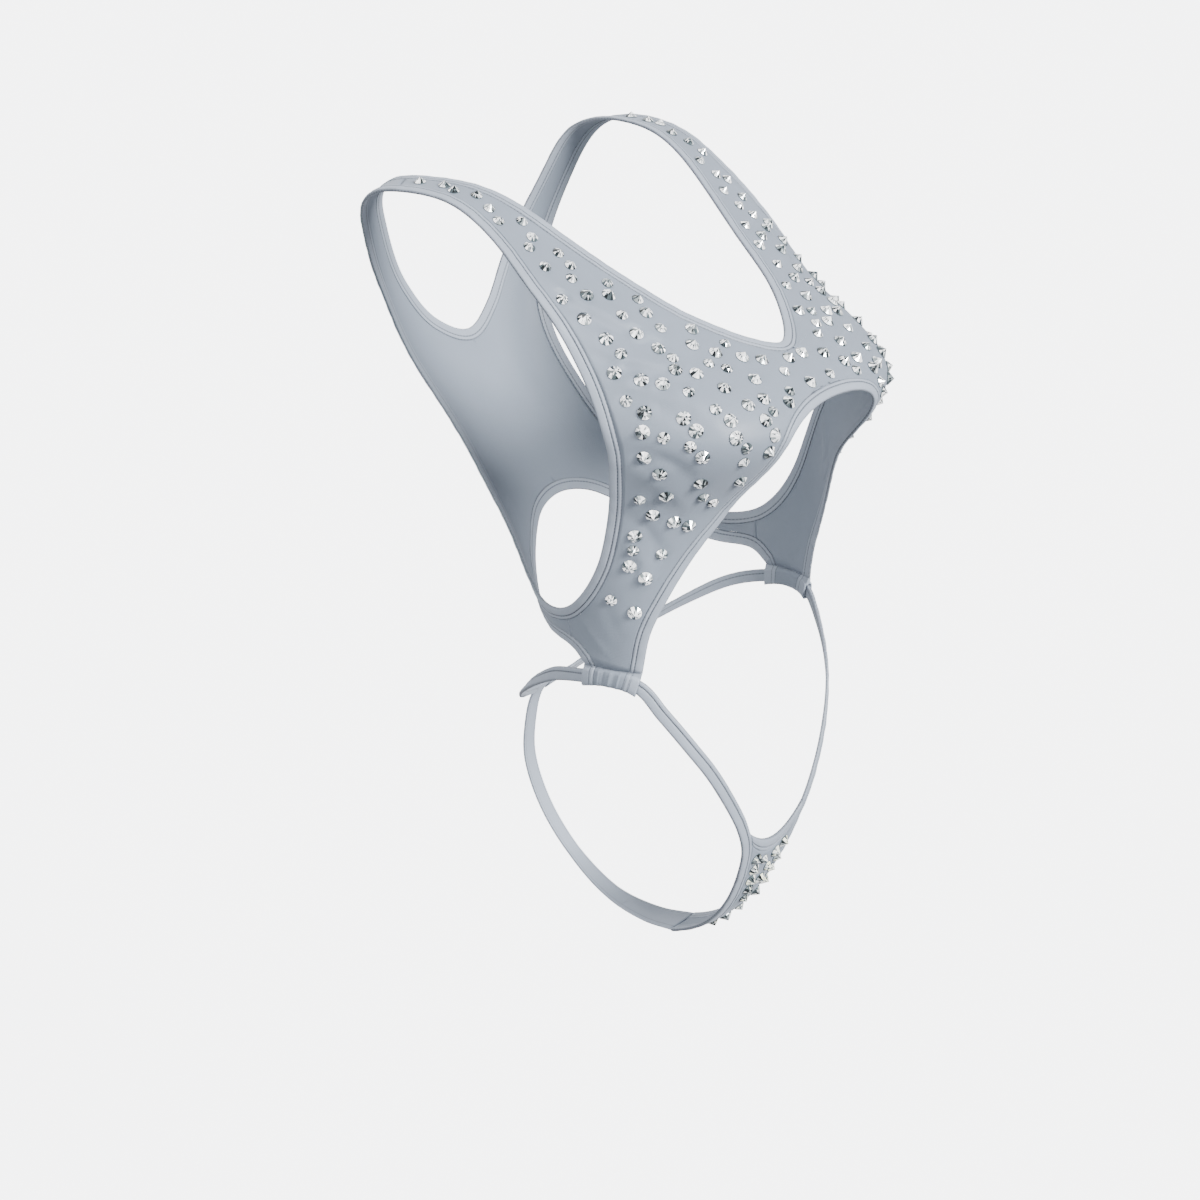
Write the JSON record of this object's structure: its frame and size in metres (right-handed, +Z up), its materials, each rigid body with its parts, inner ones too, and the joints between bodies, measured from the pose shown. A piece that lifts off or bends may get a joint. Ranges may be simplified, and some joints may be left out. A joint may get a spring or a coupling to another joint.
{
  "type": "rhinestone cutout bodysuit",
  "caption": "Worn one-piece stage bodysuit with deep neck, open sides and midriff, bound edges, crystal studded front and thong base on hip straps.",
  "frame": {"origin": "midpoint between the crests of the two shoulder straps, where the wearer's shoulders hold the garment", "axes": "+Z up, -Y to the front of the garment, +X to the wearer's left"},
  "size_m": [0.2926, 0.3197, 0.5713],
  "materials": {
    "cloth": "satin",
    "binding": "satin",
    "rhinestone": "faceted"
  },
  "bodies": {
    "root": {"front_panel": "cloth", "back_panel": "cloth", "neckline_binding": "binding", "armhole_binding_left": "binding", "armhole_binding_right": "binding", "front_arch_binding": "binding", "back_arch_binding": "binding", "hip_strap_left": "binding", "hip_strap_right": "binding", "thong_front": "cloth", "thong_top_binding": "binding", "thong_strap": "binding", "casing_left": "cloth", "casing_right": "cloth"}
  },
  "joints": []
}
